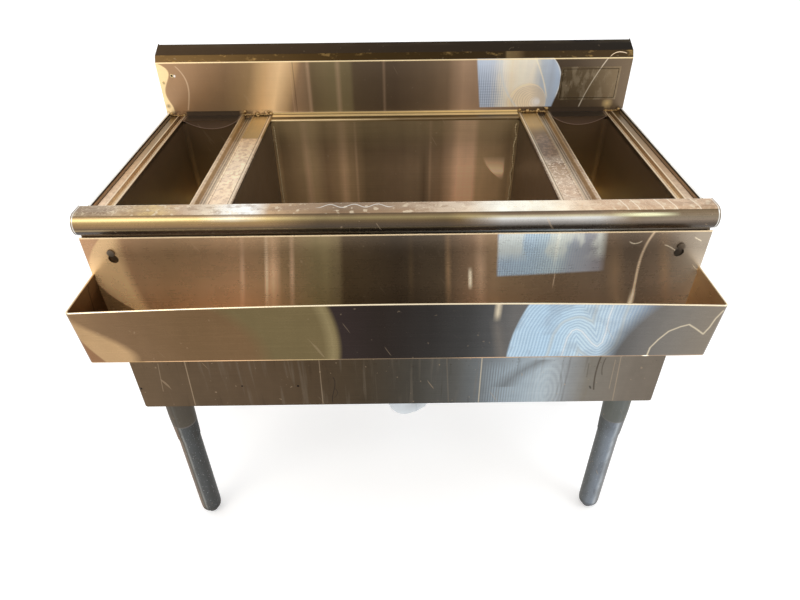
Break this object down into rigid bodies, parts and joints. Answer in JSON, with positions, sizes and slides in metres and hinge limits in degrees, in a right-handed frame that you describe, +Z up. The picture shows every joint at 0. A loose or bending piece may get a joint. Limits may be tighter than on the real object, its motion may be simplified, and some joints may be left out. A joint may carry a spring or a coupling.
{
  "type": "underbar ice bin",
  "caption": "Stainless underbar ice bin with an insulated ice compartment, bottle wells, a back splash, a lift-off speed rail, a drain and legs with screw feet.",
  "frame": {"origin": "on the floor, under the middle of the whole, speed rail included", "axes": "+Z up, +X to the right seen from the bartender's side, +Y to the back splash"},
  "size_m": [0.917, 0.5429, 0.881],
  "materials": {
    "stainless_sheet": "satin",
    "galvanised_tube": "matte",
    "grey_casting": "matte",
    "zinc_fasteners": "satin",
    "plated_brass": "satin",
    "rubber": "matte",
    "black_plastic": "matte",
    "white_plastic": "satin",
    "insulation_foam": "matte"
  },
  "bodies": {
    "bin": {"front_roll": "stainless_sheet", "roll_caps": "stainless_sheet", "front_panel": "stainless_sheet", "left_side_panel": "stainless_sheet", "right_side_panel": "stainless_sheet", "back_panel": "stainless_sheet", "bottom_pan": "stainless_sheet", "backsplash": "stainless_sheet", "splash_caps": "stainless_sheet", "ice_liner": "stainless_sheet", "left_divider": "stainless_sheet", "right_divider": "stainless_sheet", "left_side_strip": "stainless_sheet", "right_side_strip": "stainless_sheet", "left_bottle_well": "stainless_sheet", "right_bottle_well": "stainless_sheet", "insulation": "insulation_foam", "drain_body": "plated_brass", "drain_gasket": "rubber", "drain_locknut": "plated_brass", "drain_adapter": "white_plastic", "drain_pipe": "white_plastic", "drain_elbow": "white_plastic", "drain_outlet": "white_plastic", "left_leg_channel": "galvanised_tube", "right_leg_channel": "galvanised_tube", "front_left_socket": "grey_casting", "front_right_socket": "grey_casting", "rear_left_socket": "grey_casting", "rear_right_socket": "grey_casting", "front_left_leg": "galvanised_tube", "front_right_leg": "galvanised_tube", "rear_left_leg": "galvanised_tube", "rear_right_leg": "galvanised_tube", "front_left_insert": "black_plastic", "front_right_insert": "black_plastic", "rear_left_insert": "black_plastic", "rear_right_insert": "black_plastic", "socket_bolts": "zinc_fasteners", "socket_nuts": "zinc_fasteners", "leg_set_screws": "zinc_fasteners", "rail_studs": "stainless_sheet", "rail_stud_nuts": "zinc_fasteners"},
    "speed_rail": {"rail_trough": "stainless_sheet", "rail_front": "stainless_sheet", "rail_left_end": "stainless_sheet", "rail_right_end": "stainless_sheet"},
    "strainer": {"drain_strainer": "stainless_sheet"},
    "front_left_foot_body": {"front_left_foot": "grey_casting"},
    "front_right_foot_body": {"front_right_foot": "grey_casting"},
    "rear_left_foot_body": {"rear_left_foot": "grey_casting"},
    "rear_right_foot_body": {"rear_right_foot": "grey_casting"}
  },
  "joints": [
    {"name": "speed_rail_lift", "type": "slide", "parent": "bin", "child": "speed_rail", "axis": [0, 0, 1], "range_m": [0, 0.0112]},
    {"name": "strainer_lift", "type": "slide", "parent": "bin", "child": "strainer", "axis": [0, 0, 1], "range_m": [0, 0.46]},
    {"name": "front_left_foot_screw", "type": "slide", "parent": "bin", "child": "front_left_foot_body", "axis": [0, 0, -1], "range_m": [0, 0.025]},
    {"name": "front_right_foot_screw", "type": "slide", "parent": "bin", "child": "front_right_foot_body", "axis": [0, 0, -1], "range_m": [0, 0.025]},
    {"name": "rear_left_foot_screw", "type": "slide", "parent": "bin", "child": "rear_left_foot_body", "axis": [0, 0, -1], "range_m": [0, 0.025]},
    {"name": "rear_right_foot_screw", "type": "slide", "parent": "bin", "child": "rear_right_foot_body", "axis": [0, 0, -1], "range_m": [0, 0.025]}
  ]
}
